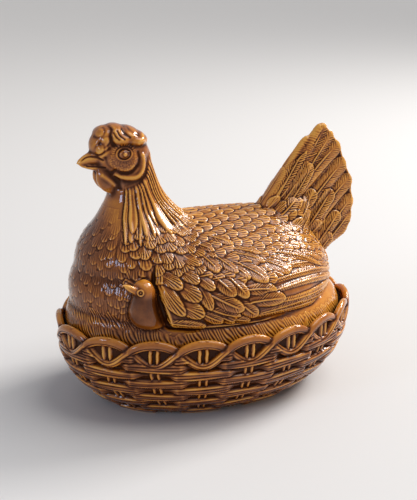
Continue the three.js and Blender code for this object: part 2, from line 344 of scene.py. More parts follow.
def strandFace(share, height, strand, perimeter):
    s = basketLook
    centre, lean, inset, half = strandCourse(share, strand, perimeter)
    across = (height - centre) * lean
    face = -inset + s["strandDepth"] * arc(across / half)
    low = ramp(0.2, -0.6, np.sin(pi * (s["crossings"] * share + strand)))
    for line, strength in ((-0.45, 1), (0.4, low)):
        face = face - s["strandGroove"] * strength * bell(across, line * half, 0.5)
    return np.where(np.abs(across) < half, face, hidden)


# outward reach of the side from the outline, a relief of rods, weavers and border strands
def basketRelief(share, height, perimeter):
    s = basketLook
    fromRod = (np.mod(share * s["crossings"], 1) - 0.5) * perimeter / s["crossings"]
    border = ramp(s["border"], s["border"] + 4, height)
    sway = 0.16 * np.sin(height * 0.5 + 14 * share) + 0.1 * np.sin(height * 1.1 + 40 * share)
    across = np.abs(np.abs(fromRod + sway) - s["rodGap"] / 2) / s["rod"]
    rod = -s["eye"] + (s["eye"] + s["rodTop"]) * arc(across)
    lowest = np.minimum(*(strandCourse(share, strand, perimeter)[0] for strand in (0, 1)))
    layers = [-s["eye"] * border - (s["weaveDepth"] + 0.2) * (1 - border), np.where(across < 1, rod, hidden)]
    for row in range(s["weavers"]):
        over = ramp(-0.82, -0.1, np.cos(pi * (share * s["crossings"] - 0.5 + row)))
        wander = 0.35 * np.sin(tau * share * 5 + row * 2.1) + 0.2 * np.sin(tau * share * 13 + row)
        centre = (row + 0.35) * s["pitch"] + wander
        bundle = (height - centre) / (s["pitch"] * (0.2 + 0.34 * over))
        face = -s["weaveDepth"] * (1 - over) - 2 + 1.2 * arc(bundle)
        wisps = np.zeros_like(face)
        for wisp in (-1, 0, 1):
            lean = 0.3 * np.sin(tau * share * 9 + wisp * 1.7 + row)
            part = (height - centre - (wisp + lean) * s["wisp"] * (0.25 + 0.75 * over)) / (s["wisp"] * 0.6)
            wisps = np.maximum(wisps, arc(part))
        visible = (np.abs(bundle) < 1) & (height < lowest + 0.5)
        layers.append(np.where(visible, face - 0.5 * border + 0.95 * wisps, hidden))
    return np.max(layers + [strandFace(share, height, strand, perimeter) for strand in (0, 1)], axis=0)


def buildBasket():
    s = basketLook
    columns = s["crossings"] * s["columns"]
    share = np.arange(columns) / columns
    turn = evenTurns(share)
    outline = basketSide(turn, rim, 0)
    perimeter = lengths(np.roll(outline, -1, 0) - outline).sum()
    strands = np.array([strandCourse(share, strand, perimeter) for strand in (0, 1)])
    top, lean, topInset, breadth = np.where(strands[0, 0] >= strands[1, 0], *strands)
    rings, bare = [], []

    def add(height, inset, unglazed=0, level=None, part=1):
        rings.append(basketSide(turn, height, inset, level) * (part, part, 1))
        bare.append(np.full(columns, unglazed, float))

    # underside and foot
    for part in (0.15, 0.5, 0.85, 1):
        add(0, s["footRing"], 0, s["footRecess"], part)
    for inset in (s["footRing"] - 1, s["footRing"] - 2, 5, 3.6, 3.3):
        add(0, inset, 1 if inset < s["footRing"] - 1 else 0.4)
    # woven side, border and its rounded top
    low, high = s["rows"]
    levels = [height + 0 * turn for height in np.linspace(0.4, s["border"], low)]
    levels += [s["border"] + (top - s["border"]) * part for part in np.linspace(0, 1, high)[1:]]
    for level in levels:
        add(level, -basketRelief(share, level, perimeter))
    for angle in np.linspace(0, pi, 16)[1:]:
        level = top + breadth / lean * 0.995 * sin(angle)
        depth = s["strandDepth"] * cos(angle)
        if angle <= pi / 2:
            reach = np.maximum(basketRelief(share, level, perimeter), -topInset + depth * 0.2)
        else:
            reach = np.maximum(-topInset + depth, -s["wall"] - 0.1)
        add(np.minimum(level, rim), -reach, 0, level)
    # down to the ledge, over it and down inside the bowl
    ledge = rim - s["ledge"]
    for part in (0.2, 0.4, 0.6, 0.8, 0.94):
        add(top + (ledge - top) * part, s["wall"])
    for inset, drop, unglazed in s["ledgeSteps"]:
        add(ledge - drop, s["wall"] + inset, unglazed)
    start, end = ledge - s["ledgeSteps"][-1][1], s["floor"] + s["fillet"]

    def bowlInset(rise):
        return s["wall"] + s["ledgeWidth"] * rise / (ledge - s["floor"])

    for part in np.linspace(0.04, 1, 26)[1:]:
        level = start + (end - start) * part
        add(level, bowlInset(level - s["floor"]))
    for angle in np.linspace(0, pi / 2, 7)[1:]:
        level, inset = s["floor"] + s["fillet"] * (1 - sin(angle)), bowlInset(s["fillet"]) + 10 * (1 - cos(angle))
        add(level, inset)
    for part in (0.85, 0.6, 0.3, 0.1):
        add(level, inset, part=part)
    basket = makeObject("basketWoven", *closedSkin(rings))
    dress(basket, np.concatenate([*bare, [0, 0]]), s["tint"], s["contrast"])
    return basket


# thin glaze on what stands out, pooled glaze in the hollows, shifted by a tint that carries painted light and shade
def dress(made, bare, tint, contrast):
    near, far = standOut(readPoints(made), readNormals(made), readEdges(made), (3, 22) if fine else (2, 10))
    glazeAndLight = 0.5 + contrast * (np.clip(near * 2.6, -0.4, 0.5) + far * 0.65) + tint
    for name, values in (("thinGlaze", np.clip(glazeAndLight, 0, 1)), ("bareClay", bare)):
        layer = made.data.attributes.new(name, "FLOAT", "POINT")
        layer.data.foreach_set("value", np.asarray(values, np.float32))


basket = buildBasket()
basket.data.materials.append(glazeMaterial("treacleGlaze", glazeLook))
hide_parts("basket_base")
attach(basket, "base")
print("basket woven:", len(basket.data.vertices), "points")

# hen lid: one casting, built as smooth clay that is then carved

henLook = dict(
    setback=-3, wall=6,
    # each slice: share of the height, then front, rear and width as shares of the reach and the width
    body=dict(height=66.5, reach=(108, 108), width=145, slices=[
        (-0.3, 0.98, 0.97, 0.95), (0, 1.005, 0.985, 0.975), (0.08, 1.015, 1, 1.01), (0.18, 1.022, 1.01, 1.035),
        (0.32, 1.018, 0.98, 1.02), (0.46, 0.98, 0.94, 0.95), (0.6, 0.93, 0.86, 0.83), (0.73, 0.86, 0.78, 0.67),
        (0.84, 0.77, 0.69, 0.5), (0.93, 0.66, 0.6, 0.32), (0.985, 0.52, 0.5, 0.15), (1, 0.36, 0.4, 0.05),
    ]),
    # the neck's rear lies ahead of the middle too
    neck=dict(height=123, reach=(107, -107), width=124, slices=[
        (0.16, 0.95, -0.3, 0.86), (0.27, 0.98, -0.2, 0.93), (0.37, 0.957, 0, 0.86), (0.45, 0.905, 0.08, 0.75),
        (0.53, 0.835, 0.155, 0.59), (0.61, 0.785, 0.25, 0.44), (0.69, 0.74, 0.325, 0.345),
        (0.77, 0.715, 0.37, 0.295), (0.85, 0.735, 0.395, 0.28), (0.93, 0.775, 0.42, 0.27), (1, 0.755, 0.45, 0.22),
    ]),
    clayVoxel=1.9 if fine else 2.6, claySmooth=14 if fine else 8,
    voxel=1.1 if fine else 1.9, smooth=3 if fine else 1,
    tint=-0.03, contrast=1.3, tailContrast=0.7, bareHeight=0.8,
)
ringLook = dict(
    inset=10.5, rounding=7.5, height=25, breastRise=5, breastReach=2.5,
    profile=[(0, 0.3), (0.14, 0.02), (0.36, -0.06), (0.55, 0.02), (0.78, 0.3), (0.93, 0.75), (1.02, 1.3), (1.05, 2)],
)
wingLook = dict(
    lift=5.4,
    hardEdge=[
        (-61, 132), (-62.8, 124), (-63.2, 115), (-61.6, 104), (-59.2, 95), (-55.4, 83.7), (-31, 81.5), (12, 80),
        (49, 81), (71, 83), (90, 88), (99, 94), (97, 102),
    ],
    softEdge=[(97, 102), (57, 114), (30, 126), (3, 135), (-20, 144), (-49, 147), (-61, 132)],
    rim=1.5, rimInset=1, rimBreadth=0.8, ditch=1.8,
)
wingOutline = wingLook["hardEdge"] + wingLook["softEdge"][1:-1]
tailLook = dict(thick=(8, 2.8), thinFrom=56, rootDepth=14, rounding=8, web=2.8)
headLook = dict(
    x=-69.5, z=202.3, length=45, width=34, height=35,
    # above this line lie the face and the comb, below it the hackle
    line=[
        (-110, 150), (-84, 168), (-79, 176), (-73, 180), (-61, 185), (-55, 192), (-51.5, 202), (-49, 208), (-40, 214),
    ],
)
chickLook = dict(
    # half width, half depth and middle at each height
    z=[82, 83.4, 86.8, 91.8, 96.9, 101.7, 106.3, 109.5, 113, 116.6, 118.8, 120.6],
    half=[10.6, 11.6, 12, 11.8, 10.9, 9.7, 8.9, 8.6, 8.2, 6.7, 4.8, 1],
    deep=[9.6, 10.8, 11.6, 11.6, 10.9, 9.8, 9.1, 9.1, 8.8, 7, 4.9, 1],
    x=[-67.4, -68.3, -70.7, -72.6, -73.8, -74, -73.7, -73.6, -73.9, -74.2, -74, -73.4],
    y=[-54.2, -54.3, -54.8, -55.5, -56.5, -57.5, -58.3, -58.8, -59, -59, -59, -59],
    eye=(-78.9, -66.5, 113), billRoot=(-80.4, -62.3, 113.8), billTip=(-93, -63.6, 120.6), billRoom=5.4,
)
chickSpan = chickLook["z"][0], chickLook["z"][-1]

# side feathers: look, lift, then root x and z, tip x and z and width, from the rear and lowest layer up
sideFeathers = [
    ("long", 1.3, [
        (-4, 86, 70, 83.5, 7), (12, 88, 84, 86.5, 8), (14, 96, 92, 90.5, 8.4), (14, 103, 95, 94, 7),
        (14, 109.5, 96, 99, 8), (20, 117, 92, 103.5, 8), (14, 124, 86, 109, 7),
    ]),
    ("covert", 1.9, [
        (-2, 108, 26, 104, 10), (2, 98.5, 34, 96.5, 11.5), (14, 125, 43, 112, 13), (-30, 98, -5, 89, 9),
        (-7, 101, 9.5, 87, 11), (-36, 95, -18, 86, 9), (-22, 91, -9, 84, 7.5), (-60, 91, -31, 83.5, 8),
        (-14, 88, 4, 83.5, 7),
    ]),
    ("covert", 2.2, [
        (-28, 107.5, -3, 94, 11.5), (-4, 126, 20, 110.5, 13.5), (-9, 127, 5, 114.5, 9), (-13, 119.5, 1, 103, 10),
        (-24, 121, -9, 105.5, 11), (-17, 131, -3.5, 119, 10), (-28, 132.5, -18.5, 121, 11), (-7, 134, 23, 126.5, 8),
        (-1, 130, 23, 121.5, 8), (-18, 141, 3, 133.5, 8.5), (-28, 138, -15, 132, 8.5), (24, 128, 80, 107, 7),
    ]),
    ("fan", 2.5, [
        (-50, 101, -33.5, 93, 12.5), (-35.5, 113.5, -28, 97, 9), (-35, 121, -24.5, 111, 9),
        (-46.5, 125, -35, 116, 10), (-42, 134.5, -31, 126, 10), (-49, 115, -35.5, 105, 12),
        (-61.5, 117.5, -47.5, 94, 11.5), (-62.5, 123, -47.5, 113, 11),
    ]),
]
tailFeathers = [
    ("tail", 0.6, [
        (98.6, 105.8, 130.6, 124.5, 12), (95.8, 102.8, 133.2, 135.5, 13), (87.6, 103.3, 134, 149, 15),
        (78, 114.6, 131.8, 167, 16), (67, 124.7, 125.6, 181.4, 16), (62.5, 143.6, 119.8, 196, 15),
        (59.5, 148, 112.5, 206, 12), (57.5, 150, 106, 212.6, 11), (53, 148, 93, 203, 11), (51, 146, 76, 182, 9),
    ]),
    ("tail", 1.1, [(55.5, 149, 86, 194, 8.5), (60, 147, 88.4, 182.5, 9.5)]),
    ("tail", 1.6, [
        (94, 108, 119.6, 136.7, 13), (83, 122, 112.2, 156.6, 13.5), (72, 132, 94.4, 158.4, 12),
        (66, 145, 91, 181, 11),
    ]),
    ("tail", 2.1, [
        (88, 98, 112, 119.3, 12), (78, 113, 100.6, 131.5, 12), (67, 124, 87.4, 142.5, 11), (61, 138, 77, 151, 10),
    ]),
    ("fan", 2.5, [
        (81, 98, 98, 110, 11), (72, 113, 87, 124.5, 10.5), (61, 126, 77, 137, 10), (55, 139, 68, 149, 9),
        (50, 146, 61, 156.5, 8),
    ]),
    ("tailEdge", 0.9, [(60, 164, 101, 212, 9), (50, 152, 87, 198, 11), (46, 146, 70, 178, 12)]),
]
tailEdge = [
    (40, 118), (48, 143), (54, 152), (86, 193.5), (105, 212), (109.5, 206.5), (119.5, 195), (125.5, 178), (132, 165),
    (133.8, 147), (133.2, 125.5), (118, 111), (98, 95), (60, 90),
]


def ovalSkin(heights, fronts, rears, halves, columns, middleY=0):
    turn = fullTurn(columns)
    x = ((fronts + rears) / 2)[:, None] + ((rears - fronts) / 2)[:, None] * np.cos(turn)
    y = np.broadcast_to(middleY, heights.shape)[:, None] + halves[:, None] * np.sin(turn)
    return closedSkin(np.stack([x, y, heights[:, None] + 0 * turn], -1))


# front, rear and width of body or neck at shares of its height
def sliced(s, at):
    table = np.array(s["slices"])
    return eased(table[:, 0], table[:, 1:], at).T


# body or neck, this much larger than its settings say
def trunkSkin(name, outset, columns, rows):
    s, setback = henLook[name], henLook["setback"]
    at = np.linspace(s["slices"][0][0], 1, rows)
    front, rear, width = sliced(s, at)
    return ovalSkin(
        groove + s["height"] * at + outset * np.maximum(at, 0), setback - s["reach"][0] * front - outset,
        setback + s["reach"][1] * rear + outset, s["width"] / 2 * width + outset, columns,
    )


def blob(centre, size, tilt=0):
    polar = np.linspace(0.03, pi - 0.03, 20)[::-1, None]
    turn = fullTurn(32)
    ring = np.stack([np.sin(polar) * np.cos(turn), np.sin(polar) * np.sin(turn), np.cos(polar) + 0 * turn], -1)
    points, faces = closedSkin(ring)
    x, y, z = (points * np.array(size) / 2).T
    turned = [x * cos(tilt) - z * sin(tilt), y, x * sin(tilt) + z * cos(tilt)]
    return np.stack(turned, -1) + np.array(centre), faces


# tapering spike along a bowed path: base, tip, how far the middle bows up, half width and half height at the base
def spike(base, tip, bow, half, tipShare=0.16):
    base, tip = np.array(base, float), np.array(tip, float)
    t = np.linspace(0, 1, 14)
    path = base + (tip - base) * t[:, None] + np.array([0, 0, bow]) * (4 * t * (1 - t))[:, None]
    along = np.gradient(path, axis=0)
    along /= lengths(along)[:, None]
    upward = np.stack([-along[:, 2], 0 * t, along[:, 0]], -1)
    upward *= np.sign(upward[:, 2])[:, None]
    shrink = np.sqrt(np.clip(1 - t * (1 - tipShare ** 2), 0, 1)) * (1 - 0.25 * t)
    shrink[-1] *= 0.35
    turn = fullTurn(20)
    ring = path[:, None] + (shrink[:, None] * half[1] * np.sin(turn))[..., None] * upward[:, None]
    ring[..., 1] += shrink[:, None] * half[0] * np.cos(turn)
    return closedSkin(ring)


# one flat tail feather, thick where it leaves the body and thin at its round tip
def tailSkin(rootX, rootZ, tipX, tipZ, width):
    tip = np.array([tipX, 0, tipZ], float)
    along = unitVector(tip - np.array([rootX, 0, rootZ]))
    down = np.array([along[2], 0, -along[0]])
    thickRoot, thickTip = tailLook["thick"]
    left = (1 - np.linspace(0, 1, 44)) * (hypot(tipX - rootX, tipZ - rootZ) + tailLook["rootDepth"])
    rounded = np.clip(1 - np.clip(1 - left / tailLook["rounding"], 0, 1) ** 1.7, 0.004, 1) ** 0.6
    thick = (thickTip + (thickRoot - thickTip) * ramp(4, tailLook["thinFrom"], left)) * rounded ** 0.6
    turn = fullTurn(28)
    wide, deep = (np.sign(part) * np.abs(part) ** power for part, power in ((np.cos(turn), 0.8), (np.sin(turn), 0.7)))
    ring = (tip - along * left[:, None])[:, None] + ((width / 2 * rounded)[:, None] * wide)[..., None] * down
    ring[..., 1] += thick[:, None] * deep
    return closedSkin(ring)


# the fan between the tail feathers, a flat plate with rounded edges
def tailWeb():
    edge = np.array(tailEdge + tailEdge[:1], float)
    run = pathRun(edge)
    line = pathPoint(np.linspace(0, run[-1], 240, endpoint=False), run, edge)
    centre = np.array([84, 138])
    rings = []
    for side, shrink in ((-0.5, 0.96), (-1, 0.985), (0, 1), (1, 0.985), (0.5, 0.96)):
        x, z = (centre + (line - centre) * shrink).T
        rings.append(np.stack([x, 0 * x + side * tailLook["web"], z], -1))
    return closedSkin(rings)


def chickShape(at):
    return [eased(chickLook["z"], chickLook[key], at) for key in ("half", "deep", "x", "y")]


def chickSkins():
    at = np.linspace(*chickSpan, 40)
    wide, far, middleX, middleY = chickShape(at)
    root, tip = np.array(chickLook["billRoot"]), np.array(chickLook["billTip"])
    below = np.array([0.8, 0, -2.6])
    return [
        ovalSkin(at, middleX - wide, middleX + wide, far, 40, middleY),
        spike(root, tip, 0.9, (3.1, 2.3)),
        spike(root + below, tip + below * 1.1 + (1.6, 0, 0), -0.3, (2.6, 1.5)),
    ]


# lobes of the comb: middle and size, and those off the middle are on both sides
combLobes = [
    (-87, 0, 210, 15, 21, 20), (-83, 0, 215, 18, 25, 19.5), (-75, 0, 216.8, 22, 30, 18), (-66, 0, 216, 22, 32, 15.4),
    (-59, 0, 214, 17, 30, 11.6), (-54, 0, 212.4, 9, 23, 9), (-85, 7, 207.5, 13, 12, 14), (-72, 9.5, 214.6, 19, 15, 9.6),
    (-62, 10, 213.4, 18, 14, 8.4),
]


def combSkins():
    sides = [(lobe, side) for lobe in combLobes for side in ((-1, 1) if lobe[1] else (1,))]
    return [blob((x, side * y, z), size, -0.12) for (x, y, z, *size), side in sides]


# distance in the plane from points to a line of edges
def edgeDistance(px, pz, line):
    best = np.full(px.shape, 1e9)
    for (ax, az), (bx, bz) in zip(line[:-1], line[1:]):
        dx, dz = bx - ax, bz - az
        t = np.clip(((px - ax) * dx + (pz - az) * dz) / (dx * dx + dz * dz), 0, 1)
        best = np.minimum(best, np.hypot(px - ax - t * dx, pz - az - t * dz))
    return best


def insideOutline(px, pz, outline):
    inside = np.zeros(px.shape, bool)
    for (ax, az), (bx, bz) in zip(outline, outline[1:] + outline[:1]):
        crosses = ((az > pz) != (bz > pz)) & (px < (bx - ax) * (pz - az) / (bz - az + 1e-9) + ax)
        inside ^= crosses
    return inside


def raiseWings(points, normals):
    s = wingLook
    x, y, z = points.T
    inside = insideOutline(x, z, wingOutline) & (np.abs(y) > 18)
    hard = ramp(0, 2.6, edgeDistance(x, z, s["hardEdge"]))
    soft = ramp(0, 30, edgeDistance(x, z, s["softEdge"]))
    lift = np.where(inside, s["lift"] * hard * (0.12 + 0.88 * soft), 0)
    return points + normals * lift[:, None]


# one skin round all the parts
def remeshed(name, parts, voxel):
    return voxelSkin(makeObject(name, *joined(parts)), voxel)


def voxelSkin(made, voxel):
    return withModifier(made, "REMESH", mode="VOXEL", voxel_size=voxel * unit, use_smooth_shade=True)


# the nest ring, higher at the breast
def nestRing():
    s = ringLook
    profile = np.array(s["profile"])
    turn = evenTurns(np.arange(240) / 240)
    breast = ramp(-0.6, -0.95, np.cos(turn))
    rings = []
    for up, inward in eased(np.linspace(0, 1, len(profile)), profile, np.linspace(0, 1, 26)):
        inset = s["inset"] + s["rounding"] * inward - s["breastReach"] * breast * up
        rings.append(basketSide(turn, rim, inset, seat + (s["height"] + s["breastRise"] * breast) * up))
    return closedSkin(rings)


def buildClay():
    s = henLook
    x, z, *size = (headLook[key] for key in ("x", "z", "length", "width", "height"))
    sides = (-1, 1)
    rump, skull = blob((62, 0, 128), (74, 40, 42), 0.75), blob((x, 0, z), size)
    cheeks = [blob((x + 1.5, side * 10, z - 3.5), (28, 14, 26)) for side in sides]
    parts = [trunkSkin("body", 0, 120, 70), trunkSkin("neck", 0, 90, 60), rump, skull, *cheeks]
    clay = remeshed("henCarved", parts, s["clayVoxel"])
    relax(clay, s["claySmooth"])
    writePoints(clay, raiseWings(readPoints(clay), readNormals(clay)))
    print("soft clay:", len(clay.data.vertices), "points")
    crisp = [
        nestRing(), *(tailSkin(*row) for row in tailFeathers[0][2] + tailFeathers[1][2]), tailWeb(), *chickSkins(),
        *combSkins(),
        # upper and lower bill, chin
        spike((x - 13.5, 0, z - 1.9), (x - 35.6, 0, z - 5.9), 1.9, (8.6, 7.6), 0.1),
        spike((x - 13.5, 0, z - 9), (x - 33.2, 0, z - 7), -0.6, (7, 4.2), 0.12),
        blob((x - 13, 0, z - 8), (13, 15, 15), 0.3),
    ]
    for side in sides:
        # eye and wattle
        crisp.append(blob((x - 2.7, side * 15.2, z + 2.1), (8.6, 5.4, 7)))
        crisp.append(blob((x - 11.5, side * 4.6, z - 18.5), (19, 10.5, 24), 0.62))
    both = [clay, makeObject("henCrisp", *joined(crisp))]
    with bpy.context.temp_override(active_object=clay, selected_editable_objects=both, selected_objects=both):
        bpy.ops.object.join()
    voxelSkin(clay, s["voxel"])
    relax(clay, s["smooth"])
    return clay


# the inside of the casting
def buildHollow():
    wall = henLook["wall"]
    turn = evenTurns(np.arange(160) / 160)
    inset = ringLook["inset"] + ringLook["rounding"] * 0.3 + wall
    mouth = [basketSide(turn, rim, inset, level) for level in np.linspace(seat - 5, groove - wall, 16)]
    parts = [closedSkin(mouth), trunkSkin("body", -wall, 90, 40), trunkSkin("neck", -wall, 60, 40)]
    hollow = remeshed("henHollow", parts, 2.6)
    relax(hollow, 4)
    return hollow


# carving: what feathers, grooves and folds add to the clay, along its own normals and in millimetres

def chickArea(points):
    x, y, z = points.T
    low, high = chickSpan
    wide, far, middleX, middleY = chickShape(np.clip(z, low, high))
    body = ((x - middleX) / (wide + 0.9)) ** 2 + ((y - middleY) / (far + 0.9)) ** 2 < 1
    base, tip = (np.array(chickLook[end]) - (0, 0, 1) for end in ("billRoot", "billTip"))
    t = np.clip((points - base) @ (tip - base) / ((tip - base) @ (tip - base)), 0, 1)
    bill = lengths(points - base - t[:, None] * (tip - base)) < chickLook["billRoom"]
    return (body & (z > low - 1) & (z < high + 2.4)) | bill


def headLine(x):
    return np.interp(x, *np.transpose(headLook["line"]))


class Carving:
    def __init__(self, points, normals, tree):
        self.points, self.normals, self.tree = points, normals, tree
        self.raised = np.zeros(len(points))
        self.plain = chickArea(points) | (points[:, 2] > headLine(points[:, 0]))
        self.order = np.argsort(points[:, 0])
        self.sortedX = points[self.order, 0]

    # where a ray from outside meets the clay, or nothing known
    def meet(self, source, towards):
        hit = self.tree.ray_cast(Vector(source), Vector(towards).normalized())[0]
        return np.full(3, np.nan) if hit is None else np.array(hit)

    def near(self, centre, reach):
        low, high = np.searchsorted(self.sortedX, [centre[0] - reach, centre[0] + reach])
        these = self.order[low:high]
        return these[((self.points[these] - centre) ** 2).sum(1) < reach * reach]

    # s and t run along the feather in millimetres and as a share, u and a run across it
    def feather(self, root, tip, width, lift, name, depth=7):
        look = featherLooks[name]
        along = tip - root
        length = np.linalg.norm(along)
        along = along / length
        middle = (root + tip) / 2
        these = self.near(middle, length * 0.55 + width * 0.5 + 1)
        if not len(these):
            return
        core = self.near(middle + 0.2 * length * along, max(width * 0.5, 3))
        out = unitVector(self.normals[core if len(core) else these].mean(0))
        out = unitVector(out - along * out.dot(along))
        chance = sin(root[0] * 12.9 + root[2] * 7.3 + tip[0] * 3.1)
        offset = self.points[these] - root
        s = offset @ along
        t = np.clip(s / length, 0, 1)
        u = offset @ np.cross(out, along) - 0.03 * chance * 4 * t * (1 - t) * length
        full, narrow = look["full"], look["narrow"]
        rounded = np.clip(1 - (np.clip(t - full, 0, 1) / (1 - full)) ** 2.3, 0, 1) ** 0.5
        half = width / 2 * (narrow + (1 - narrow) * ramp(0, full, t)) * rounded
        a = np.abs(u) / np.maximum(half, 0.05)
        keep = (s / length > 0) & (s / length < 1) & (a < 1) & (self.normals[these] @ out > 0.1)
        keep &= (np.abs(offset @ out) < depth) & ~self.plain[these]
        these, s, t, u, a, half = these[keep], s[keep], t[keep], u[keep], a[keep], half[keep]
        edge = arc(1 - np.clip((half - np.abs(u)) / 1.3, 0, 1))
        height = lift * (0.1 + 0.9 * t ** look.get("slant", 0.8)) * (0.5 + 0.5 * edge)
        height += lift * look["crown"] * (1 - a ** 2)
        height += look["shaft"] * bell(u, 0, 0.42) * ramp(0.92, 0.6, t)
        if "rays" in look:
            away = (t - look["hub"]) / (1 - look["hub"])
            fan = u / np.maximum(away, 0.1) / (width / 2)
            ray = np.cos(pi * look["rays"] * fan + 2 * chance + 0.6 * np.sin(3 * fan + 4 * chance))
            ray *= ramp(0.3, 0.6, away) * ramp(1, 0.85, a)
        else:
            phase = (s - look["sweep"] * np.abs(u) - 0.05 * u ** 2) / look["pitch"]
            ray = np.cos(tau * phase + 1.1 * np.sin(phase * 1.3 + 5 * chance) + np.sign(u) * chance)
            ray *= ramp(0.1, 0.35, a) * ramp(0.02, 0.25, t)
            ray *= 0.75 + 0.25 * np.sin(phase * 2.3 + 3 * chance + 2 * a)
        height += look["barb"] * ray
        cover = 0.75 * ramp(0.25, 0.5, t) * edge
        self.raised[these] = np.maximum(self.raised[these] * (1 - cover), height)


# full and narrow shape the outline, the rest are heights in millimetres or as shares of the lift; rays spread from the
# hub, and barbs slant by the sweep
featherLooks = dict(
    scale=dict(full=0.5, narrow=0.85, rays=3.4, hub=-0.4, barb=0.12, shaft=0.12, crown=0.12, slant=1.3),
    fan=dict(full=0.45, narrow=0.6, rays=4.6, hub=-0.15, barb=0.36, shaft=0.3, crown=0.12),
    rump=dict(full=0.45, narrow=0.6, rays=3.6, hub=-0.15, barb=0.16, shaft=0.4, crown=0.45),
    covert=dict(full=0.55, narrow=0.6, pitch=2.2, sweep=1.25, barb=0.38, shaft=1, crown=0.15),
    long=dict(full=0.86, narrow=0.55, pitch=2.1, sweep=0.9, barb=0.34, shaft=0.8, crown=0.15, slant=0.4),
    tail=dict(full=0.85, narrow=0.8, pitch=2.4, sweep=1, barb=0.48, shaft=1.45, crown=0.05, slant=0.5),
    tailEdge=dict(full=0.85, narrow=0.8, pitch=2.4, sweep=1, barb=0.1, shaft=0.8, crown=0.1, slant=0.5),
)


# how far inside the rim's outline a point lies, and its share of the way round
def ringPlace(x, y):
    inset = np.full(x.shape, 10.0)
    for step in range(6):
        p, q = halfLength - inset, halfWidth - inset
        miss = (x / p) ** 2 + (y / q) ** 2 - 1
        inset = np.clip(inset - miss / (2 * x ** 2 / p ** 3 + 2 * y ** 2 / q ** 3), -5, 60)
    turn = np.mod(np.arctan2(y / (halfWidth - inset), x / (halfLength - inset)), tau)
    shares = np.linspace(0, 1, 721)
    turns = evenTurns(shares)
    turns[-1] = tau
    return inset, np.interp(turn, turns, shares)


# strokes round the nest ring, in rows that lie over each other at the breast
strawLook = dict(strands=230, lift=1.3, lean=0.21)


def carveStraw(carving):
    s = strawLook
    x, y, z = carving.points.T
    inset, share = ringPlace(x, y)
    outside = (z > seat + 1) & (z < 92) & (inset < 27) & (inset > 3) & (carving.normals[:, 2] > -0.5) & ~carving.plain
    band = z - seat + np.clip(inset - ringLook["inset"] - 3, 0, 30) * 0.7
    breast = ramp(-30, -75, x)
    top = 24 - 11 * breast - 5 * ramp(-10, 60, x)

    def sway(waves, shift):
        return np.sin(tau * share * waves + shift)

    for row, (low, high) in enumerate(((-1, top), (9, 9 + 15 * breast), (20, 20 + 19 * breast))):
        wobble = (0.4 + 0.7 * breast) * sway(31, row * 2) + 0.7 * sway(83, row)
        t = (band - low - wobble) / np.maximum(high - low, 1)
        bend = 0.5 * np.sin(pi * np.clip(t, 0, 1)) + 0.4 * sway(17, row * 2.3) + 0.25 * sway(53, row * 1.1)
        place = share * s["strands"] + row * 0.37 + s["lean"] * (1 + 0.2 * (-1) ** row) * band + bend
        ridge = arc(np.abs(np.mod(place, 1) - 0.5) * 2)
        height = (s["lift"] - 0.3 * breast) * (ridge - 0.2) * np.clip(4 * t * (1 - t), 0, 1) ** 0.35
        height += 0.3 * breast * (1 - t)
        use = outside & (t > 0) & (t < 1) & (high > low + 3)
        carving.raised[use] = np.maximum(carving.raised[use], height[use])


hackleLook = dict(strands=26, spread=2.2, lift=1.5, ridge=1.4, groove=0.32)


def neckMiddle(z):
    s = henLook["neck"]
    front, rear, width = sliced(s, (z - groove) / s["height"])
    return henLook["setback"] - s["reach"][0] * (front + rear) / 2


def carveHackle(carving):
    s = hackleLook
    x, y, z = carving.points.T
    these = np.flatnonzero((z > 132) & (z < 212) & (x > -104) & (x < -8) & ~carving.plain)
    x, y, z = x[these], y[these], z[these]
    angle = np.arctan2(y, x - neckMiddle(z))
    found = np.zeros(len(these))
    for layer in (0, 1):
        wander = 0.26 * np.sin(z / 11 + angle * 3 + layer) + 0.1 * np.sin(z / 5.2 + angle * 7)
        place = (angle / s["spread"] * 0.5 + 0.5) * s["strands"] + wander * ramp(187, 165, z) + layer * 0.5
        place = place + 0.3 * np.sin(1.7 * place + layer)
        strand = np.floor(place)
        middle = ((strand + 0.5 - layer * 0.5) / s["strands"] - 0.5) * 2 * s["spread"]
        tip = 147.5 + 2.5 * np.cos(middle) - 3.5 * np.cos(strand * 2.4) - layer * 5
        tip = tip - 3 * ramp(-0.35, 1, -np.cos(middle))
        a = np.abs(place - strand - 0.5) * 2
        wide = arc(np.clip(tip + 15 - z, 0, 15) / 15)
        inside = (a < wide) & (np.abs(middle) < s["spread"]) & (z > tip)
        share = a / np.maximum(wide, 0.05)
        fade = (1 - 0.4 * ramp(176, 200, z)) * ramp(0, 9, headLine(x) - z)
        height = s["lift"] * (1 - layer * 0.55) + s["ridge"] * arc(share) - 0.3
        height = height - s["groove"] * np.cos(3 * pi * (place - strand)) * ramp(0.95, 0.6, share)
        found = np.maximum(found, np.where(inside, height * fade, 0))
    carving.raised[these] = np.maximum(carving.raised[these], found)


breastLook = dict(rows=15, pitch=7, across=8.2, length=11.8, width=8.8, lift=1.15, middle=(-64, 0, 146))


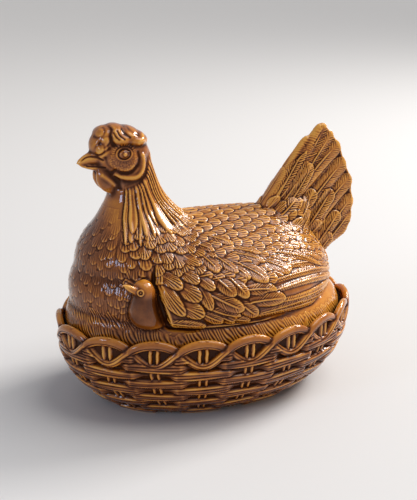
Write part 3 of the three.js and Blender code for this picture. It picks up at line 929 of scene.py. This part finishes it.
# rings of feathers that point down and away from the neck, over breast and shoulders
def carveBreast(carving):
    s = breastLook
    turns = np.linspace(-pi, pi, 97)[:-1]
    paths = np.zeros((s["rows"] + 1, len(turns), 3))
    for i, turn in enumerate(turns):
        path = []
        for rise in np.linspace(1.25, -1.0, 150):
            flat = cos(rise)
            towards = np.array([cos(turn) * flat, sin(turn) * flat, sin(rise)])
            path.append(carving.meet(np.array(s["middle"]) + towards * 260, -towards))
        path = np.array(path)
        path = path[path[:, 2] < 163 + 3 * ramp(0.25, 1, -cos(turn)) + 3 * cos(turn)]
        run = pathRun(path)
        at = np.arange(s["rows"] + 1) * s["pitch"]
        paths[:, i] = pathPoint(at, run, path)
        paths[at > run[-1] + 4, i] = np.nan
    for row in reversed(range(s["rows"])):
        closed, lowerRow = (np.concatenate([ring, ring[:1]]) for ring in paths[row:row + 2])
        run = pathRun(closed, 3.0)
        count = max(int(run[-1] / s["across"]), 6)
        for k in range(count):
            at = (k + 0.5 * (row % 2) + 0.22 * sin(k * 2.4 + row * 1.7)) / count * run[-1] % run[-1]
            i = min(int(np.searchsorted(run, at, side="right")) - 1, len(turns) - 1)
            share = (at - run[i]) / max(run[i + 1] - run[i], 1e-6)
            root, lower = (ring[i] * (1 - share) + ring[i + 1] * share for ring in (closed, lowerRow))
            if not np.isfinite([root, lower]).all():
                continue
            tip = root + unitVector(lower - root) * (s["length"] + 1.5 * sin(k * 3.1 + row))
            if tip[2] < 85 or root[0] > -24 or (root[0] > -64 and root[2] < 124):
                continue
            shoulder = ramp(-82, -62, root[0])
            lift = s["lift"] * (1 - 0.35 * ramp(-76, -100, root[0])) + 1 * shoulder
            lift = lift * (0.45 + 0.55 * ramp(164, 146, root[2]))
            width = s["width"] + 2.2 * shoulder + 0.8 * sin(k * 1.9 + row * 2.3)
            carving.feather(root, tip, width, lift, "fan" if root[0] > -68 else "scale")


backLook = dict(front=-38, rear=104, pitch=8.8, across=10, length=13.4, width=11, lift=1.5)


# brick rows of feathers that point back along the body
def carveBack(carving):
    s = backLook

    def section(x):
        rays = [np.array([0, sin(angle), cos(angle)]) for angle in np.linspace(-1.3, 1.3, 66)]
        return np.array([carving.meet(np.array([x, 0, 92]) + ray * (62 if x > 46 else 200), -ray) for ray in rays])

    rows = [section(x) for x in np.arange(s["rear"], s["front"], -s["pitch"])]
    for row in range(1, len(rows)):
        here, behind = rows[row], rows[row - 1]
        run = pathRun(here)
        count = int(run[-1] / s["across"])
        for k in range(count + 1):
            place = k - count / 2 + 0.25 * (1 if row % 2 else -1) + 0.08 * sin(k * 2 + row)
            at = run[-1] / 2 + place * s["across"]
            root, ahead = pathPoint(at, run, here), pathPoint(at, run, behind)
            if not np.isfinite(root).all() or not 0 <= at <= run[-1]:
                continue
            if not np.isfinite(ahead).all():
                ahead = root + np.array([s["pitch"], 0, -s["pitch"] * 0.6])
            tip = root + unitVector(ahead - root) * s["length"]
            carving.feather(root, tip, s["width"] + 0.8 * sin(k * 2.6 + row * 1.3), s["lift"], "rump")


def carveSides(carving):
    for look, lift, rows in sideFeathers:
        for rootX, rootZ, tipX, tipZ, width in rows:
            for side in (-1, 1):
                ends = [carving.meet((x, side * 200, z), (0, -side, 0)) for x, z in ((rootX, rootZ), (tipX, tipZ))]
                if np.isfinite(ends).all():
                    carving.feather(*ends, width, lift, look, 20 if look == "long" else 8)


# the raised line along the wing's front and lower edge
def carveWingRim(carving):
    s = wingLook
    x, y, z = carving.points.T
    these = np.flatnonzero((np.abs(y) > 38) & (z > 78) & (z < 128) & (x > -74) & (x < 40) & ~carving.plain)
    x, z, raised = x[these], z[these], carving.raised[these]
    away = edgeDistance(x, z, s["hardEdge"])
    line = s["rim"] * bell(away, s["rimInset"], s["rimBreadth"]) * ramp(40, 10, x)
    front = ramp(130, 118, z) * ramp(-30, -44, x)
    around = raised * (1 - front * ramp(9, 5, away)) * ramp(0, 3, away) - s["ditch"] * bell(away, 1.6, 1.5) * front
    carving.raised[these] = np.where(insideOutline(x, z, wingOutline), np.maximum(raised, line), around)


def carveTail(carving):
    for look, lift, rows in tailFeathers:
        for rootX, rootZ, tipX, tipZ, width in rows:
            for side in (0,) if look == "tailEdge" else (-1, 1):
                root, tip = np.array([rootX, side * 6.0, rootZ]), np.array([tipX, side * 4.0, tipZ])
                carving.feather(root, tip, width, lift, look, 18 if side else 9)


# ridges and grooves seen from the side: points in x and z, height and half breadth in millimetres
headLines = [
    ([(-78, 192), (-73, 189.9), (-67, 191), (-62, 195), (-60.2, 200.5), (-60.8, 205)], -0.6, 1.6),
    ([(-74, 190), (-70, 190), (-66, 191.6), (-62.6, 195)], -0.6, 1.5),
    ([(-85.5, 202), (-83.5, 196.5), (-79, 192.4)], -0.35, 1.3),
    ([(-78, 188.6), (-70, 186.4), (-63, 186.8), (-58.6, 190.6), (-56.8, 196), (-57, 202)], 1.4, 2),
    ([(-87, 188), (-82.5, 184.4), (-78.4, 180.5)], 0.6, 1.8), ([(-79.6, 190), (-76.4, 185), (-75, 178)], -0.8, 1.6),
    ([(-101.5, 199.8), (-96.5, 202.2), (-91, 201.9), (-87, 200)], -0.65, 0.7),
    ([(-103, 195.6), (-96, 194.6), (-85, 194)], -0.5, 0.6),
    ([(-79.4, 223), (-81, 219), (-80.6, 214.5), (-79, 211.5)], -0.8, 1.4),
    ([(-78.6, 220.4), (-77.6, 217.8), (-75.6, 215.8)], -0.55, 0.8),
    ([(-75.8, 221.6), (-74.6, 218.4), (-71.6, 215.8)], -0.6, 0.8),
    ([(-71.8, 222.4), (-70.4, 219.6), (-67.2, 217)], -0.5, 1), ([(-66, 222), (-63, 219.6), (-59.6, 218)], -0.4, 1.3),
    ([(-90, 203.6), (-86, 206.6), (-82.6, 209)], -0.6, 1.3), ([(-60, 212.4), (-57, 214.6), (-55.4, 217)], 0.5, 1.6),
]
# grooves round the leaves of the comb: middle, half size and tilt
combLeaves = [(-85.2, 214, 4.6, 3, 0.9), (-88, 220.6, 4.4, 2.5, 0.8), (-89.2, 208.4, 4.4, 2.9, 1.2)]
eyeLook = dict(x=-71.9, z=204.7, length=4.9, height=3.9, tilt=0.12)


# across and along an oval's axes
def tilted(x, z, tilt):
    return x * cos(tilt) + z * sin(tilt), z * cos(tilt) - x * sin(tilt)


def carveHead(carving):
    x, y, z = carving.points.T
    these = np.flatnonzero((x < -44) & (z > 172) & (np.abs(y) > 2.4) & ((x < -48) | (z > 182)))
    x, z, y = x[these], z[these], np.abs(y[these])
    height = np.zeros(len(these))
    for line, rise, breadth in headLines:
        at = np.linspace(0, len(line) - 1, 4 * len(line))
        height += rise * bell(edgeDistance(x, z, eased(range(len(line)), line, at)), 0, breadth)
    for middleX, middleZ, long, high, tilt in combLeaves:
        along, up = tilted(x - middleX, z - middleZ, tilt)
        reach = np.hypot(along / long, up / high)
        height += 0.12 * ramp(1, 0.4, reach) - 0.26 * bell(reach, 1.05, 0.3)
    s = eyeLook
    dx, dz = x - s["x"], z - s["z"]
    along, up = tilted(dx, dz, s["tilt"])
    reach = np.hypot(along / s["length"], up / s["height"])
    turn = np.arctan2(up / s["height"], along / s["length"])
    upper = ramp(-0.2, 0.5, np.sin(turn))
    eye = 0.5 * arc(reach) + 0.45 * arc(np.hypot(dx, dz) / 1.5) - (0.45 + 0.25 * upper) * bell(reach, 0.95, 0.14)
    eye += 0.2 * (1 - upper) * bell(reach, 1.18, 0.15) - 0.3 * upper * bell(reach, 1.4, 0.12)
    strokes = ramp(1.35, 1.5, reach) * ramp(2.1, 1.7, reach)
    eye += strokes * (0.03 + 0.1 * upper) * np.cos(turn * 26 + 0.8 * np.sin(turn * 5))
    skin = ramp(11.5, 10, np.hypot(x + 72, z - 201)) * ramp(1.6, 2, reach)
    grain = np.sin(2.1 * x + 0.7 * z + 2 * np.sin(1.3 * z)), np.sin(2.3 * z - 0.5 * x + 2 * np.sin(1.1 * x))
    eye += 0.1 * skin * grain[0] * grain[1]
    height += np.where(y > 9, eye, 0)
    carving.raised[these] += height * np.maximum(ramp(2.4, 4.5, y), ramp(-88, -92, x) * ramp(0.6, 1.6, y))


def carveChick(carving):
    reach = lengths(carving.points - np.array(chickLook["eye"]))
    ring = 0.7 * bell(reach, 2.2, 0.45) - 0.6 * bell(reach, 1.25, 0.45) + 0.45 * bell(reach, 0, 0.6)
    use = (carving.points[:, 1] < -58) & (reach < 4) & chickArea(carving.points)
    carving.raised += np.where(use, ring, 0)


# glaze tint by region: painted light lightens the hackle, back, tail and lower rear, painted shade darkens the lower
# wing and the breast's front; the head, ring, wattle, tail's upper front edge and chick's body are darker, the chick's
# head lighter, the eye darker round a painted highlight on the pupil
tintLook = dict(
    hackleLight=0.24, back=0.19, tail=0.05, tailRim=0.18, rear=0.15, whole=0.1, wattle=0.16,
    chick=0.2, chickHead=0.19, wing=0.02, breast=0.04, head=0.02, ring=0.02,
)


def glazeTintAndPaintedLight(points):
    s = tintLook
    x, y, z = points.T
    # painted light: the hackle, back, tail and lower rear come out lighter, as if lit from above and from the right
    hackleLight = ramp(138, 150, z) * ramp(186, 176, z) * ramp(-92, -80, x) * ramp(0, -12, x)
    back = ramp(-20, 30, x + 0.6 * (z - 120))
    tail = ramp(52, 84, x) * ramp(104, 128, z)
    tailRim = tail * ramp(8, 4, edgeDistance(x, z, tailEdge[1:5]))
    rear = ramp(94, 88, z) * ramp(-40, 30, x)
    # painted shade: the lower wing and the front of the breast come out darker
    wing = ramp(124, 108, z) * ramp(84, 90, z) * ramp(-74, -60, x) * ramp(70, 20, x)
    breast = ramp(-74, -92, x) * ramp(176, 168, z)
    head = ramp(182, 190, z) * ramp(-20, -40, x)
    hen = s["wing"] * wing + s["breast"] * breast + s["head"] * head + s["ring"] * ramp(90, 84, z)
    dull = np.where(chickArea(points), s["chick"] - s["chickHead"] * ramp(109, 119, z), hen)
    wattle = ramp(196, 182, z) * ramp(-64, -74, x) * ramp(166, 172, z)
    # the eye darker, with a lighter spot at its middle that is a painted highlight on the pupil
    pupil = np.hypot(x - eyeLook["x"], z - eyeLook["z"])
    eye = np.where(np.abs(y) > 10, 0.5 * ramp(4.8, 3.8, pupil) - ramp(1.3, 0.7, pupil), 0)
    light = s["hackleLight"] * hackleLight + s["back"] * back + s["tail"] * tail - s["tailRim"] * tailRim + s["rear"] * rear
    return light - s["whole"] - dull - s["wattle"] * wattle - eye


def buildHen():
    clay = buildClay()
    withModifier(clay, "SUBSURF", levels=1, subdivision_type="CATMULL_CLARK")
    points, smooth, edges = readPoints(clay), readNormals(clay), readEdges(clay)
    clay.data.calc_loop_triangles()
    corners = readRaw(clay.data.loop_triangles, "vertices", np.int32)
    for step in range(6):
        smooth = neighbourMean(smooth, edges)
    smooth /= lengths(smooth)[:, None]
    carving = Carving(points, smooth, BVHTree.FromPolygons(points.tolist(), corners.tolist()))
    for carve in (carveStraw, carveBack, carveBreast, carveSides, carveWingRim, carveHackle, carveTail):
        carve(carving)
    carving.raised -= 0.4 * ramp(0, 0.8, carving.raised)
    carveHead(carving)
    carveChick(carving)
    relax(clay, 1, points + smooth * carving.raised[:, None])
    print("hen carved:", len(points), "points")
    hollow = buildHollow()
    withModifier(clay, "BOOLEAN", operation="DIFFERENCE", object=hollow, solver="MANIFOLD")
    bpy.data.objects.remove(hollow)
    points = readPoints(clay)
    x, y, z = points.T
    bare = (z < (lidLow.z - middle.z) / unit + henLook["bareHeight"]).astype(float)
    contrast = henLook["contrast"] + henLook["tailContrast"] * ramp(52, 84, x) * ramp(112, 132, z)
    dress(clay, bare, glazeTintAndPaintedLight(points) + henLook["tint"], contrast)
    print("hen hollowed:", len(points), "points")
    return clay


hen = buildHen()
hen.data.materials.clear()
hen.data.materials.append(basket.data.materials[0])
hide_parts("hen_lid")
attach(hen, "lid")

# floor, camera and lights

stageLook = dict(floor=(0.76, 0.75, 0.74), wall=(0.8, 0.8, 0.83), strength=0.36, seen=0.6, size=24)


def buildStage():
    s = stageLook
    half = s["size"] / 2
    mesh = bpy.data.meshes.new("floor")
    mesh.from_pydata([(-half, -half, 0), (half, -half, 0), (half, half, 0), (-half, half, 0)], [], [(0, 1, 2, 3)])
    paint = Shader(bpy.data.materials.new("floorPaint"), "Principled BSDF")
    mesh.materials.append(paint.set(Base_Color=(*s["floor"], 1), Roughness=0.6, Specular_IOR_Level=0.2))
    floor = placed("floor", mesh)
    floor.location.z = basketLow.z
    world = Shader(bpy.data.worlds.new("studio"), "Background")
    bpy.context.scene.world = world.owner
    seen, glossy, clear = (
        world.node("LightPath", output=f"Is {ray} Ray") for ray in ("Camera", "Glossy", "Transmission")
    )
    seen = world.maths("MAXIMUM", world.maths("MAXIMUM", seen, glossy), clear)
    level = world.node("MapRange", {}, {"Value": seen, "To Min": s["strength"], "To Max": s["seen"]})
    world.set(Color=(*s["wall"], 1), Strength=level)


def facing(look):
    turn, rise = radians(look["turn"]), radians(look["rise"])
    return Vector((sin(turn) * cos(rise), -cos(turn) * cos(rise), sin(rise)))


def aimed(name, data, place, towards):
    made = placed(name, data)
    made.location = place
    made.rotation_mode = "QUATERNION"
    made.rotation_quaternion = towards.to_track_quat("-Z", "Y")
    return made


# the camera stands where the fitted photograph was taken from, aimed so that nothing has to be shifted;
# the aim is how far the picture's middle lies from the dish's middle, in pixels of a picture of this height
cameraLook = dict(
    turn=-22.6, rise=20.9, distance=824, lens=72, sensor=36, pixels=500, aim=(208.5 - 205.9, 303.7 - 250),
)


def buildCamera():
    s = cameraLook
    turn = radians(s["turn"])
    back = facing(s)
    right = Vector((cos(turn), sin(turn), 0))
    target = middle + Vector((0, 0, rim)) * unit
    focal = s["lens"] / s["sensor"] * s["pixels"]
    towards = -back + right * (s["aim"][0] / focal) + back.cross(right) * (s["aim"][1] / focal)
    data = bpy.data.cameras.new("camera")
    data.lens, data.sensor_width, data.clip_start = s["lens"], s["sensor"], 0.01
    bpy.context.scene.camera = aimed("camera", data, target + back * s["distance"] * unit, towards.normalized())


# the window is an area lamp to the right, the room light comes from far away over a wide angle and the cool glow is
# dim and to the left; all of them aim at the hen
lampAim = Vector((0, 0, 0.09))
lampLook = [
    dict(name="window", turn=98, rise=36, distance=2.2, size=(0.88, 0.73), power=38, colour=(1, 0.97, 0.94)),
    dict(name="room", turn=64, rise=62, distance=3, spread=44, power=1.3, colour=(1, 0.98, 0.95)),
    dict(name="coolGlow", turn=-72, rise=20, distance=1.4, size=(0.26, 0.3), power=2.4, colour=(0.55, 0.7, 1)),
]


def buildLamps():
    for s in lampLook:
        data = bpy.data.lights.new(s["name"], "SUN" if "spread" in s else "AREA")
        if "spread" in s:
            data.angle = radians(s["spread"])
        else:
            data.shape = "RECTANGLE"
            data.size, data.size_y = s["size"]
        data.energy, data.color = s["power"], s["colour"]
        aimed(s["name"], data, lampAim + facing(s) * s["distance"], -facing(s))


buildStage()
buildCamera()
buildLamps()
bpy.context.scene.view_settings.view_transform = "Standard"
print("stage, camera and lamps set")
